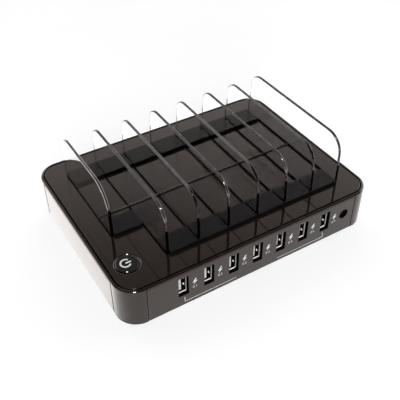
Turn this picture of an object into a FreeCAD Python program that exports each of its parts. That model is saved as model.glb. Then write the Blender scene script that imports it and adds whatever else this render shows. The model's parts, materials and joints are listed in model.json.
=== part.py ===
import FreeCAD, Part
import math
import os

import Sketcher

# Desktop charging station: a flat glossy case with seven charging ports in its
# front panel, a power button in its deck, and a lift-off rack of clear dividers.
# Millimetres. +Z is up, the ports face -Y, and the origin is on the table under
# the middle of the case.

DIMENSIONS = {
    # Case shells
    "body_depth": 123.0,
    "corner_radius": 12.8,
    "post_margin": 0.45,
    "post_depth": 14.35,
    "wall_thickness": 2.4,
    "deck_thickness": 2.4,
    "floor_thickness": 2.2,
    "rim_radius": 0.9,
    "rim_band": 0.2,
    "groove_inset": 1.5,
    "groove_width": 0.9,
    "groove_depth": 0.5,
    "seam_gap": 0.3,
    "fit_gap": 0.1,
    "panel_headroom": 3.27,
    "panel_tab_reach": 2.5,
    "panel_tab_thickness": 1.4,
    # Feet and screws
    "foot_lift": 0.3,
    "foot_radius": 5.0,
    "foot_recess": 0.5,
    "foot_inset_x": 17.0,
    "foot_inset_y": 15.0,
    "screw_radius": 1.25,
    "screw_clearance": 0.05,
    "screw_head_radius": 2.8,
    "screw_head_height": 1.6,
    "screw_length": 10.0,
    "cover_boss_radius": 3.5,
    "tray_boss_size": 10.0,
    "boss_setback": 9.0,
    "boss_side": 9.0,
    "rear_boss_inset_x": 30.0,
    "rear_boss_inset_y": 16.0,
    # Circuit board and what stands on it
    "board_thickness": 1.6,
    "board_side_inset": 7.75,
    "board_gap": 0.5,
    "board_depth": 62.0,
    "board_corner_radius": 10.0,
    "board_hole_clearance": 0.5,
    "standoff_height": 3.9,
    "hook_inset": 14.0,
    "hook_width": 6.0,
    "hook_seat": 5.0,
    "hook_post": 1.6,
    "hook_nose": 0.9,
    "hook_nose_height": 1.6,
    "chip_width": 5.0,
    "chip_depth": 6.0,
    "chip_height": 1.5,
    "chip_gap": 1.5,
    "inductor_size": 10.0,
    "inductor_height": 5.0,
    "inductor_chamfer": 1.5,
    "inductor_gap": 2.0,
    "inductor_pitch": 20.0,
    "inductor_count": 4,
    "capacitor_radius": 4.0,
    "capacitor_height": 11.0,
    "capacitor_inset": 12.0,
    "capacitor_pitch": 24.0,
    "capacitor_count": 3,
    # Charging ports
    "port_count": 7,
    "port_pitch": 16.0,
    "port_recess": 2.6,
    "port_lift": 0.2,
    "shell_width": 5.7,
    "shell_height": 13.1,
    "shell_length": 14.0,
    "shell_metal": 0.3,
    "shell_chamfer": 0.4,
    "window_clearance": 0.3,
    "tongue_thickness": 1.84,
    "tongue_end_gap": 0.7,
    "tongue_setback": 1.0,
    "tongue_side_gap": 1.0,
    "tongue_block_depth": 4.0,
    "contact_width": 1.0,
    "contact_thickness": 0.2,
    "contact_setback": 0.8,
    "contact_length": 6.5,
    "contact_inner_offset": 1.0,
    "contact_outer_offset": 3.5,
    # Power inlet
    "jack_spacing": 14.1,
    "jack_margin": 7.65,
    "jack_hole_radius": 3.2,
    "jack_width": 9.0,
    "jack_height": 11.0,
    "jack_length": 14.0,
    "jack_axis_height": 6.2,
    "jack_bore_radius": 3.1,
    "jack_bore_depth": 10.5,
    "jack_pin_radius": 1.0,
    "jack_pin_setback": 1.0,
    # Power button and its switch
    "button_inset_x": 13.1,
    "button_inset_y": 21.1,
    "button_radius": 6.55,
    "button_gap": 0.4,
    "button_rise": 0.4,
    "button_chamfer": 0.3,
    "button_hole_chamfer": 0.3,
    "button_flange_reach": 1.0,
    "button_flange_thickness": 1.0,
    "button_flange_gap": 0.2,
    "button_stem_radius": 2.2,
    "switch_size": 6.2,
    "switch_height": 3.8,
    "switch_bore_depth": 2.4,
    "switch_bore_clearance": 0.1,
    "plunger_radius": 1.7,
    "plunger_depth": 1.2,
    "plunger_reach": 1.0,
    # Divider rack
    "divider_count": 8,
    "divider_pitch": 19.3,
    "divider_thickness": 1.8,
    "divider_height": 31.5,
    "divider_front_inset": 16.0,
    "divider_rear_inset": 17.0,
    "divider_front_radius": 11.5,
    "divider_rear_radius": 10.0,
    "short_divider_inset": 44.0,
    "short_divider_front_radius": 16.0,
    "seat_gap": 0.1,
    "joint_gap": 0.05,
    "tab_length": 6.0,
    "tab_depth": 2.2,
    "tab_inset": 2.5,
    "rear_tab_inset": 3.5,
    "slot_clearance": 0.2,
    "rail_height": 2.0,
    "rail_depth": 14.0,
    "rail_lip": 1.7,
    "rail_corner_radius": 1.0,
    "tie_gap": 4.75,
    "tie_width": 0.9,
    "tie_height": 0.9,
}

# Places that follow from the dimensions. The heights stack up from the table, and the
# case is as long as the row of ports, the inlet beside it and a corner at each end need.
LAYOUT = {
    "wall_bottom": "dims.foot_lift",
    "floor_top": "layout.wall_bottom + dims.floor_thickness",
    "board_bottom": "layout.floor_top + dims.standoff_height",
    "board_top": "layout.board_bottom + dims.board_thickness",
    "port_z": "layout.board_top + dims.port_lift + dims.shell_height / 2",
    "window_half_width": "dims.shell_width / 2 + dims.window_clearance",
    "window_half_height": "dims.shell_height / 2 + dims.window_clearance",
    "wall_top": "layout.port_z + layout.window_half_height + dims.panel_headroom",
    "deck_top": "layout.wall_top + dims.rim_radius",
    "deck_bottom": "layout.deck_top - dims.deck_thickness",
    "seam_top": "layout.wall_top - dims.rim_band",
    "panel_top": "layout.seam_top - dims.seam_gap",
    "last_port_x": "(dims.port_count - 1) / 2 * dims.port_pitch",
    "jack_x": "layout.last_port_x + dims.jack_spacing",
    "jack_z": "layout.board_top + dims.jack_axis_height",
    "seam_x": "layout.jack_x + dims.jack_margin",
    "half_length": "layout.seam_x + dims.post_margin + dims.corner_radius",
    "half_depth": "dims.body_depth / 2",
    "seam_y": "layout.half_depth - dims.post_depth",
    "inner_x": "layout.half_length - dims.wall_thickness",
    "inner_y": "layout.half_depth - dims.wall_thickness",
    "tray_x": "layout.inner_x - dims.seam_gap",
    "tray_y": "layout.inner_y - dims.seam_gap",
    "port_front": "dims.port_recess - layout.half_depth",
    "port_back": "layout.port_front + dims.shell_length",
    "tongue_left": "dims.shell_metal - dims.shell_width / 2 + dims.tongue_side_gap",
    "tongue_right": "layout.tongue_left + dims.tongue_thickness",
    "tongue_front": "layout.port_front + dims.tongue_setback",
    "tongue_height": "dims.shell_height - 2 * dims.shell_metal - 2 * dims.tongue_end_gap",
    "jack_front": "dims.seam_gap - layout.inner_y",
    "board_half": "layout.half_length - dims.board_side_inset",
    "tab_back": "dims.seam_gap + dims.panel_tab_thickness - layout.inner_y",
    "board_front": "layout.tab_back + dims.board_gap",
    "board_rear": "layout.board_front + dims.board_depth",
    "front_boss_x": "layout.last_port_x + dims.boss_side",
    "front_boss_y": "layout.port_back + dims.boss_setback",
    "rear_boss_x": "layout.half_length - dims.rear_boss_inset_x",
    "rear_boss_y": "layout.half_depth - dims.rear_boss_inset_y",
    "cover_boss_bottom": "layout.board_bottom + dims.fit_gap",
    "hook_x": "layout.board_half - dims.hook_inset",
    "hook_face": "layout.board_rear + dims.fit_gap",
    "hook_low": "layout.board_top + dims.fit_gap",
    "hook_high": "layout.hook_low + dims.hook_nose_height",
    "screw_hole_radius": "dims.screw_radius + dims.screw_clearance",
    "foot_x": "layout.half_length - dims.foot_inset_x",
    "foot_y": "layout.half_depth - dims.foot_inset_y",
    "chip_front": "layout.port_back + dims.chip_gap",
    "chip_rear": "layout.chip_front + dims.chip_depth",
    "inductor_y": "layout.chip_rear + dims.inductor_gap + dims.inductor_size / 2",
    "capacitor_y": "layout.board_rear - dims.capacitor_inset",
    "button_x": "dims.button_inset_x - layout.half_length",
    "button_y": "dims.button_inset_y - layout.half_depth",
    "button_hole_radius": "dims.button_radius + dims.button_gap",
    "button_top": "layout.deck_top + dims.button_rise",
    "flange_top": "layout.deck_bottom - dims.button_flange_gap",
    "flange_bottom": "layout.flange_top - dims.button_flange_thickness",
    "flange_radius": "layout.button_hole_radius + dims.button_flange_reach",
    "switch_top": "layout.board_top + dims.switch_height",
    "plunger_top": "layout.switch_top + dims.plunger_reach",
    "first_divider_x": "-(dims.divider_count - 1) / 2 * dims.divider_pitch",
    "divider_bottom": "layout.deck_top + dims.seat_gap",
    "divider_top": "layout.deck_top + dims.divider_height",
    "divider_front": "dims.divider_front_inset - layout.half_depth",
    "short_divider_front": "dims.short_divider_inset - layout.half_depth",
    "divider_rear": "layout.half_depth - dims.divider_rear_inset",
    "half_slot": "dims.divider_thickness / 2 + dims.slot_clearance",
    "half_joint": "dims.divider_thickness / 2 + dims.joint_gap",
    "front_rail_front": "layout.divider_front - dims.rail_lip",
    "front_rail_rear": "layout.front_rail_front + dims.rail_depth",
    "short_rail_front": "layout.short_divider_front - dims.rail_lip",
    "short_rail_rear": "layout.short_rail_front + dims.rail_depth",
    "rear_rail_rear": "layout.divider_rear + dims.rail_lip",
    "rear_rail_front": "layout.rear_rail_rear - dims.rail_depth",
    "rear_tab_rear": "layout.divider_rear - dims.rear_tab_inset",
    "rear_tab_front": "layout.rear_tab_rear - dims.tab_length",
    "tie_front": "layout.short_rail_rear + dims.tie_gap",
    "tie_rear": "layout.tie_front + dims.tie_width",
    "notch_front": "layout.tie_front - dims.joint_gap",
    "notch_rear": "layout.tie_rear + dims.joint_gap",
    "notch_top": "layout.divider_bottom + dims.tie_height + dims.joint_gap",
}

# Slope of a countersunk screw head, which narrows upwards to the shank.
HEAD_TAPER = "-atan((dims.screw_head_radius - dims.screw_radius) / dims.screw_head_height)"
# How far a cut runs past the outer face that it opens.
CUT_MARGIN = "1"
NEAR = 1e-4

doc = FreeCAD.newDocument("charging_station")
sheet = doc.addObject("Spreadsheet::Sheet", "dims")
for row, (alias, number) in enumerate(DIMENSIONS.items(), 1):
    sheet.set(f"A{row}", alias)
    sheet.set(f"B{row}", str(number))
    sheet.setAlias(f"B{row}", alias)
doc.recompute()

layout = doc.addObject("App::VarSet", "layout")
for place, expression in LAYOUT.items():
    layout.addProperty("App::PropertyFloat", place)
    layout.setExpression(place, expression)
doc.recompute()

subparts = []


def value(expression):
    """The number that an expression of the sheet has now."""
    return float(sheet.evalExpression(expression))


def count(alias):
    """A number of copies from the sheet."""
    return round(value(f"dims.{alias}"))


def new_body(label):
    """A sub-part, written to a file of its own."""
    body = doc.addObject("PartDesign::Body", label)
    body.Label = label
    subparts.append(body)
    return body


def origin_feature(body, role):
    """One of the body's own origin planes or axes."""
    return next(item for item in body.Origin.OriginFeatures if item.Role == role)


def new_sketch(body, name, role="XY_Plane", offset="0"):
    """A sketch on an origin plane, moved along the plane's normal by an expression."""
    sketch = body.newObject("Sketcher::SketchObject", f"{body.Name}_{name}")
    sketch.AttachmentSupport = (origin_feature(body, role), "")
    sketch.MapMode = "FlatFace"
    sketch.setExpression("AttachmentOffset.Base.z", offset)
    return sketch


def bind_point(sketch, geometry, vertex, x, y):
    """Ties a point of the sketch to two expressions."""
    for kind, expression in (("DistanceX", x), ("DistanceY", y)):
        tie = Sketcher.Constraint(kind, -1, 1, geometry, vertex, value(expression))
        index = sketch.addConstraint(tie)
        sketch.setExpression(f"Constraints[{index}]", expression)


def add_polygon(sketch, corners):
    """A closed straight outline whose corners follow expressions."""
    points = [FreeCAD.Vector(value(x), value(y), 0) for x, y in corners]
    ends = points[1:] + points[:1]
    first = sketch.GeometryCount
    sketch.addGeometry([Part.LineSegment(start, end) for start, end in zip(points, ends)])
    for index, (x, y) in enumerate(corners):
        before = first + (index - 1) % len(corners)
        sketch.addConstraint(Sketcher.Constraint("Coincident", before, 2, first + index, 1))
        bind_point(sketch, first + index, 1, x, y)


def add_rectangle(sketch, left, low, right, high):
    """An upright rectangle between expressions."""
    add_polygon(sketch, [(left, low), (right, low), (right, high), (left, high)])


def add_square(sketch, x, y, size):
    """An upright square round a middle point."""
    half = f"{size} / 2"
    add_rectangle(sketch, f"{x} - {half}", f"{y} - {half}", f"{x} + {half}", f"{y} + {half}")


def add_rounded_rectangle(sketch, left, low, right, high, radius):
    """An upright rectangle with rounded corners: a line, then an arc, for each side in turn."""
    inner_left, inner_right = f"({left} + {radius})", f"({right} - ({radius}))"
    inner_low, inner_high = f"({low} + {radius})", f"({high} - ({radius}))"
    sides = [
        ((inner_left, low), (inner_right, low), (inner_right, inner_low)),
        ((right, inner_low), (right, inner_high), (inner_right, inner_high)),
        ((inner_right, high), (inner_left, high), (inner_left, inner_high)),
        ((left, inner_high), (left, inner_low), (inner_left, inner_low)),
    ]
    first = sketch.GeometryCount
    for side, (start, end, centre) in enumerate(sides):
        ends = [FreeCAD.Vector(value(x), value(y), 0) for x, y in (start, end)]
        middle = FreeCAD.Vector(value(centre[0]), value(centre[1]), 0)
        circle = Part.Circle(middle, FreeCAD.Vector(0, 0, 1), value(radius))
        turn = (side - 1) * math.pi / 2
        sketch.addGeometry([Part.LineSegment(*ends), Part.ArcOfCircle(circle, turn, turn + math.pi / 2)])
    for side, (start, end, centre) in enumerate(sides):
        line = first + 2 * side
        arc = line + 1
        after = first + (2 * side + 2) % (2 * len(sides))
        sketch.addConstraint(Sketcher.Constraint("Coincident", line, 2, arc, 1))
        sketch.addConstraint(Sketcher.Constraint("Coincident", arc, 2, after, 1))
        bind_point(sketch, line, 1, *start)
        bind_point(sketch, line, 2, *end)
        index = sketch.addConstraint(Sketcher.Constraint("Radius", arc, value(radius)))
        sketch.setExpression(f"Constraints[{index}]", radius)


def add_circle(sketch, x, y, radius):
    """A circle whose centre and radius follow expressions."""
    centre = FreeCAD.Vector(value(x), value(y), 0)
    circle = sketch.addGeometry(Part.Circle(centre, FreeCAD.Vector(0, 0, 1), value(radius)))
    bind_point(sketch, circle, 3, x, y)
    index = sketch.addConstraint(Sketcher.Constraint("Radius", circle, value(radius)))
    sketch.setExpression(f"Constraints[{index}]", radius)


def add_pad(body, sketch, length, reverse=False, taper=None):
    """Material from a sketch, along its normal or against it."""
    feature = body.newObject("PartDesign::Pad", f"{sketch.Name}_pad")
    feature.Profile = sketch
    feature.Reversed = reverse
    feature.setExpression("Length", length)
    if taper:
        feature.setExpression("TaperAngle", taper)
    doc.recompute()
    return feature


def add_pocket(body, sketch, length, along_normal=False, taper=None):
    """A cut from a sketch, against its normal or along it, that has to take material away."""
    before = body.Tip.Shape.Volume
    feature = body.newObject("PartDesign::Pocket", f"{sketch.Name}_pocket")
    feature.Profile = sketch
    feature.Reversed = along_normal
    feature.setExpression("Length", length)
    if taper:
        feature.setExpression("TaperAngle", taper)
    doc.recompute()
    if feature.Shape.Volume > before - NEAR:
        raise RuntimeError(f"{feature.Name} cuts nothing")
    return feature


def edge_names(body, wanted):
    """Names of the body's edges that a test accepts."""
    return [f"Edge{n}" for n, edge in enumerate(body.Tip.Shape.Edges, 1) if wanted(edge)]


def add_fillet(body, radius, wanted):
    """Rounds the edges that a test accepts."""
    names = edge_names(body, wanted)
    base = body.Tip
    feature = body.newObject("PartDesign::Fillet", f"{body.Name}_fillet")
    feature.Base = (base, names)
    feature.setExpression("Radius", radius)
    doc.recompute()


def add_chamfer(body, size, wanted):
    """Breaks the edges that a test accepts."""
    names = edge_names(body, wanted)
    base = body.Tip
    feature = body.newObject("PartDesign::Chamfer", f"{body.Name}_chamfer")
    feature.Base = (base, names)
    feature.setExpression("Size", size)
    doc.recompute()


def is_along(edge, axis):
    """True for a straight edge along an axis: 0 for X, 1 for Y, 2 for Z."""
    if edge.Degenerated or edge.Curve.TypeId != "Part::GeomLine":
        return False
    return abs(abs(edge.Curve.Direction[axis]) - 1) < NEAR


def lies_at(edge, axis, place):
    """True for an edge that lies in the plane where the axis has the given value."""
    box = edge.BoundBox
    low = (box.XMin, box.YMin, box.ZMin)[axis]
    high = (box.XMax, box.YMax, box.ZMax)[axis]
    return abs(low - place) < NEAR and abs(high - place) < NEAR


def is_circle_at(edge, z, radius):
    """True for a level circle of the given height and radius."""
    if edge.Degenerated or edge.Curve.TypeId != "Part::GeomCircle":
        return False
    return lies_at(edge, 2, z) and abs(edge.Curve.Radius - radius) < NEAR


def four_places(x, y):
    """A place and its mirror images in both middle planes."""
    return [(sign_x + x, sign_y + y) for sign_x in ("-1 * ", "") for sign_y in ("-1 * ", "")]


def boss_places():
    """Where the case screws go: two behind the ports and two near the rear wall."""
    fronts = [(sign + "layout.front_boss_x", "layout.front_boss_y") for sign in ("-1 * ", "")]
    rears = [(sign + "layout.rear_boss_x", "layout.rear_boss_y") for sign in ("-1 * ", "")]
    return fronts + rears


def divider_x(number):
    """Middle of a divider, counted from 1 at the button's end."""
    return f"(layout.first_divider_x + {number - 1} * dims.divider_pitch)"


def port_x(number):
    """Middle of a port, counted from 1 at the button's end."""
    return f"({number - 1} * dims.port_pitch - layout.last_port_x)"


def divider_front(number):
    """Front end of a divider: the first one is short and leaves the button free."""
    return "layout.short_divider_front" if number == 1 else "layout.divider_front"


def front_tab(number):
    """Front and rear end of a divider's front tab."""
    front = f"{divider_front(number)} + dims.tab_inset"
    return f"({front})", f"({front} + dims.tab_length)"


def make_top_cover():
    """Deck, rounded rim with a groove inside it, and corner posts in one moulding."""
    body = new_body("top_cover")
    outline = new_sketch(body, "outline", offset="layout.wall_bottom")
    add_rounded_rectangle(outline, "-layout.half_length", "-layout.half_depth",
                          "layout.half_length", "layout.half_depth", "dims.corner_radius")
    block = add_pad(body, outline, "layout.deck_top - layout.wall_bottom")

    rim = body.newObject("PartDesign::Fillet", "top_cover_rim")
    rim.Base = (block, [top_face_name(block)])
    rim.setExpression("Radius", "dims.rim_radius")
    doc.recompute()

    groove = new_sketch(body, "groove", offset="layout.deck_top")
    for inset in ("dims.groove_inset", "(dims.groove_inset + dims.groove_width)"):
        half_x = f"(layout.half_length - {inset})"
        half_y = f"(layout.half_depth - {inset})"
        add_rounded_rectangle(groove, f"-{half_x}", f"-{half_y}", half_x, half_y,
                              f"(dims.corner_radius - {inset})")
    add_pocket(body, groove, "dims.groove_depth")

    cavity = new_sketch(body, "cavity", offset="layout.wall_bottom")
    add_rounded_rectangle(cavity, "-layout.inner_x", "-layout.inner_y", "layout.inner_x", "layout.inner_y",
                          "(dims.corner_radius - dims.wall_thickness)")
    add_pocket(body, cavity, "layout.deck_bottom - layout.wall_bottom", along_normal=True)

    openings = new_sketch(body, "wall_openings", offset="layout.wall_bottom")
    reach_x = f"layout.half_length + {CUT_MARGIN}"
    reach_y = f"layout.half_depth + {CUT_MARGIN}"
    rebate_x = "layout.tray_x - dims.seam_gap"
    rebate_y = "layout.tray_y - dims.seam_gap"
    add_rectangle(openings, "-layout.seam_x", f"-({reach_y})", "layout.seam_x", f"-({rebate_y})")
    add_rectangle(openings, "-layout.seam_x", rebate_y, "layout.seam_x", reach_y)
    add_rectangle(openings, f"-({reach_x})", "-layout.seam_y", f"-({rebate_x})", "layout.seam_y")
    add_rectangle(openings, rebate_x, "-layout.seam_y", reach_x, "layout.seam_y")
    add_pocket(body, openings, "layout.seam_top - layout.wall_bottom", along_normal=True)

    slots = new_sketch(body, "tab_slots", offset="layout.deck_top")
    for number in range(1, count("divider_count") + 1):
        front, rear = front_tab(number)
        left = f"{divider_x(number)} - layout.half_slot"
        right = f"{divider_x(number)} + layout.half_slot"
        add_rectangle(slots, left, f"{front} - dims.slot_clearance",
                      right, f"{rear} + dims.slot_clearance")
        add_rectangle(slots, left, "layout.rear_tab_front - dims.slot_clearance",
                      right, "layout.rear_tab_rear + dims.slot_clearance")
    add_pocket(body, slots, f"dims.deck_thickness + {CUT_MARGIN}")

    button_hole = new_sketch(body, "button_hole", offset="layout.deck_top")
    add_circle(button_hole, "layout.button_x", "layout.button_y", "layout.button_hole_radius")
    add_pocket(body, button_hole, f"dims.deck_thickness + {CUT_MARGIN}")
    hole_radius = value("layout.button_hole_radius")
    deck_top = value("layout.deck_top")
    add_chamfer(body, "dims.button_hole_chamfer", lambda edge: is_circle_at(edge, deck_top, hole_radius))

    bosses = new_sketch(body, "bosses", offset="layout.cover_boss_bottom")
    pilots = new_sketch(body, "pilot_holes", offset="layout.cover_boss_bottom")
    for x, y in boss_places():
        add_circle(bosses, x, y, "dims.cover_boss_radius")
        add_circle(pilots, x, y, "layout.screw_hole_radius")
    add_pad(body, bosses, "layout.deck_bottom - layout.cover_boss_bottom")
    add_pocket(body, pilots, "dims.screw_length", along_normal=True)


def top_face_name(feature):
    """Name of the highest face of a feature."""
    faces = enumerate(feature.Shape.Faces, 1)
    number = max(faces, key=lambda item: item[1].CenterOfMass.z)[0]
    return f"Face{number}"


def make_base_tray():
    """Floor, the walls that stand between the corner posts, and two hooks for the board."""
    body = new_body("base_tray")
    floor = new_sketch(body, "floor", offset="layout.wall_bottom")
    add_rounded_rectangle(floor, "-layout.tray_x", "-layout.tray_y", "layout.tray_x", "layout.tray_y",
                          "(dims.corner_radius - dims.wall_thickness - dims.seam_gap)")
    add_pad(body, floor, "dims.floor_thickness")

    walls = new_sketch(body, "walls", offset="layout.wall_bottom")
    end_x = "layout.seam_x - dims.seam_gap"
    end_y = "layout.seam_y - dims.seam_gap"
    add_rectangle(walls, "-layout.half_length", f"-({end_y})", "-layout.tray_x", end_y)
    add_rectangle(walls, "layout.tray_x", f"-({end_y})", "layout.half_length", end_y)
    add_rectangle(walls, f"-({end_x})", "layout.tray_y", end_x, "layout.half_depth")
    add_pad(body, walls, "layout.panel_top - layout.wall_bottom")

    for side in ("-1 * ", ""):
        hook = new_sketch(body, "hook", "YZ_Plane", f"{side}layout.hook_x - dims.hook_width / 2")
        add_polygon(hook, [
            ("layout.board_rear - dims.hook_seat", "layout.floor_top"),
            ("layout.hook_face + dims.hook_post", "layout.floor_top"),
            ("layout.hook_face + dims.hook_post", "layout.hook_high"),
            ("layout.hook_face", "layout.hook_high"),
            ("layout.hook_face - dims.hook_nose", "layout.hook_low"),
            ("layout.hook_face", "layout.hook_low"),
            ("layout.hook_face", "layout.board_bottom"),
            ("layout.board_rear - dims.hook_seat", "layout.board_bottom"),
        ])
        add_pad(body, hook, "dims.hook_width")

    bosses = new_sketch(body, "bosses", offset="layout.floor_top")
    countersinks = new_sketch(body, "countersinks", offset="layout.wall_bottom")
    screw_holes = new_sketch(body, "screw_holes", offset="layout.wall_bottom")
    for x, y in boss_places():
        add_square(bosses, x, y, "dims.tray_boss_size")
        add_circle(countersinks, x, y, "dims.screw_head_radius + dims.screw_clearance")
        add_circle(screw_holes, x, y, "layout.screw_hole_radius")
    add_pad(body, bosses, "dims.standoff_height")
    add_pocket(body, screw_holes, "layout.board_bottom - layout.wall_bottom", along_normal=True)
    add_pocket(body, countersinks, "dims.screw_head_height", along_normal=True, taper=HEAD_TAPER)

    recesses = new_sketch(body, "foot_recesses", offset="layout.wall_bottom")
    for x, y in four_places("layout.foot_x", "layout.foot_y"):
        add_circle(recesses, x, y, "dims.foot_radius + dims.fit_gap")
    add_pocket(body, recesses, "dims.foot_recess", along_normal=True)


def make_front_panel():
    """Flat insert with the port windows, held by a tab behind each corner post."""
    body = new_body("front_panel")
    plate = new_sketch(body, "plate", "XZ_Plane", "layout.half_depth")
    end_x = "layout.seam_x - dims.seam_gap"
    add_rectangle(plate, f"-({end_x})", "layout.wall_bottom", end_x, "layout.panel_top")
    add_pad(body, plate, "dims.wall_thickness", reverse=True)

    tabs = new_sketch(body, "tabs", offset="layout.floor_top + dims.fit_gap")
    back = "-layout.inner_y"
    behind_post = "dims.seam_gap - layout.inner_y"
    root = f"{end_x} - dims.panel_tab_reach"
    tip = "layout.seam_x + dims.panel_tab_reach"
    for side in ("-1 * ", ""):
        add_polygon(tabs, [
            (f"{side}({root})", back),
            (f"{side}({end_x})", back),
            (f"{side}({end_x})", behind_post),
            (f"{side}({tip})", behind_post),
            (f"{side}({tip})", "layout.tab_back"),
            (f"{side}({root})", "layout.tab_back"),
        ])
    add_pad(body, tabs, "layout.deck_bottom - layout.floor_top - 2 * dims.fit_gap")

    window = new_sketch(body, "window", "XZ_Plane", "layout.half_depth")
    first = port_x(1)
    low = "layout.port_z - layout.window_half_height"
    high = "layout.port_z + layout.window_half_height"
    add_rectangle(window, f"{first} - layout.window_half_width", low,
                  f"{first} + layout.window_half_width", high)
    cut = add_pocket(body, window, "dims.wall_thickness")
    windows = body.newObject("PartDesign::LinearPattern", "front_panel_windows")
    windows.Originals = [cut]
    windows.Direction = (window, ["H_Axis"])
    windows.setExpression("Length", "2 * layout.last_port_x")
    windows.setExpression("Occurrences", "dims.port_count")
    body.Tip = windows
    doc.recompute()

    inlet = new_sketch(body, "inlet", "XZ_Plane", "layout.half_depth")
    add_circle(inlet, "layout.jack_x", "layout.jack_z", "dims.jack_hole_radius")
    add_pocket(body, inlet, "dims.wall_thickness")


def make_circuit_board():
    """Board behind the front panel, with holes for the cover's front bosses."""
    body = new_body("circuit_board")
    outline = new_sketch(body, "outline", offset="layout.board_bottom")
    add_rounded_rectangle(outline, "-layout.board_half", "layout.board_front",
                          "layout.board_half", "layout.board_rear", "dims.board_corner_radius")
    add_pad(body, outline, "dims.board_thickness")
    holes = new_sketch(body, "holes", offset="layout.board_top")
    for x, y in boss_places()[:2]:
        add_circle(holes, x, y, "dims.cover_boss_radius + dims.board_hole_clearance")
    add_pocket(body, holes, "dims.board_thickness")


def make_usb_shell(number):
    """Folded metal shell of one port, standing on edge on the board."""
    body = new_body(f"usb_shell_{number}")
    section = new_sketch(body, "section", "XZ_Plane", "-layout.port_front")
    x = port_x(number)
    for inset in ("0", "dims.shell_metal"):
        half_x = f"(dims.shell_width / 2 - {inset})"
        half_z = f"(dims.shell_height / 2 - {inset})"
        add_rectangle(section, f"{x} - {half_x}", f"layout.port_z - {half_z}",
                      f"{x} + {half_x}", f"layout.port_z + {half_z}")
    add_pad(body, section, "dims.shell_length", reverse=True)
    half_width = value("dims.shell_width") / 2
    middle = value(x)

    def is_outer_corner(edge):
        return is_along(edge, 1) and abs(abs(edge.CenterOfMass.x - middle) - half_width) < NEAR

    add_chamfer(body, "dims.shell_chamfer", is_outer_corner)


def make_usb_tongue(number):
    """Insulator of one port: a block that closes the shell's back, and the contact tongue."""
    body = new_body(f"usb_tongue_{number}")
    plan = new_sketch(body, "plan", offset="layout.port_z - layout.tongue_height / 2")
    x = port_x(number)
    half_block = "dims.shell_width / 2 - dims.shell_metal - dims.fit_gap"
    block_front = "layout.port_back - dims.tongue_block_depth"
    add_polygon(plan, [
        (f"{x} + layout.tongue_left", "layout.tongue_front"),
        (f"{x} + layout.tongue_right", "layout.tongue_front"),
        (f"{x} + layout.tongue_right", block_front),
        (f"{x} + {half_block}", block_front),
        (f"{x} + {half_block}", "layout.port_back"),
        (f"{x} - ({half_block})", "layout.port_back"),
        (f"{x} - ({half_block})", block_front),
        (f"{x} + layout.tongue_left", block_front),
    ])
    add_pad(body, plan, "layout.tongue_height")


def make_usb_contacts():
    """Four flat contacts on the tongue of each port."""
    body = new_body("usb_contacts")
    blades = new_sketch(body, "blades", "YZ_Plane", f"{port_x(1)} + layout.tongue_right")
    front = "layout.tongue_front + dims.contact_setback"
    for offset in ("dims.contact_outer_offset", "dims.contact_inner_offset"):
        for side in ("-", "+"):
            middle = f"layout.port_z {side} {offset}"
            add_rectangle(blades, front, f"{middle} - dims.contact_width / 2",
                          f"{front} + dims.contact_length", f"{middle} + dims.contact_width / 2")
    first = add_pad(body, blades, "dims.contact_thickness")
    copies = body.newObject("PartDesign::LinearPattern", "usb_contacts_row")
    copies.Originals = [first]
    copies.Direction = (origin_feature(body, "X_Axis"), [""])
    copies.setExpression("Length", "2 * layout.last_port_x")
    copies.setExpression("Occurrences", "dims.port_count")
    body.Tip = copies
    doc.recompute()


def make_dc_jack():
    """Power inlet on the board behind its hole in the panel, and its middle pin."""
    housing = new_body("dc_jack_housing")
    block = new_sketch(housing, "block", "XZ_Plane", "-layout.jack_front")
    add_rectangle(block, "layout.jack_x - dims.jack_width / 2", "layout.board_top",
                  "layout.jack_x + dims.jack_width / 2", "layout.board_top + dims.jack_height")
    add_pad(housing, block, "dims.jack_length", reverse=True)
    bore = new_sketch(housing, "bore", "XZ_Plane", "-layout.jack_front")
    add_circle(bore, "layout.jack_x", "layout.jack_z", "dims.jack_bore_radius")
    add_pocket(housing, bore, "dims.jack_bore_depth")

    pin = new_body("dc_jack_pin")
    section = new_sketch(pin, "section", "XZ_Plane", "-(layout.jack_front + dims.jack_bore_depth)")
    add_circle(section, "layout.jack_x", "layout.jack_z", "dims.jack_pin_radius")
    add_pad(pin, section, "dims.jack_bore_depth - dims.jack_pin_setback")


def make_power_switch():
    """Push switch on the board under the button: its case and its plunger."""
    case = new_body("power_switch_case")
    block = new_sketch(case, "block", offset="layout.board_top")
    add_square(block, "layout.button_x", "layout.button_y", "dims.switch_size")
    add_pad(case, block, "dims.switch_height")
    bore = new_sketch(case, "bore", offset="layout.switch_top")
    bore_radius = "dims.plunger_radius + dims.switch_bore_clearance"
    add_circle(bore, "layout.button_x", "layout.button_y", bore_radius)
    add_pocket(case, bore, "dims.switch_bore_depth")

    plunger = new_body("power_switch_plunger")
    section = new_sketch(plunger, "section", offset="layout.switch_top - dims.plunger_depth")
    add_circle(section, "layout.button_x", "layout.button_y", "dims.plunger_radius")
    add_pad(plunger, section, "dims.plunger_depth + dims.plunger_reach")


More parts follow.
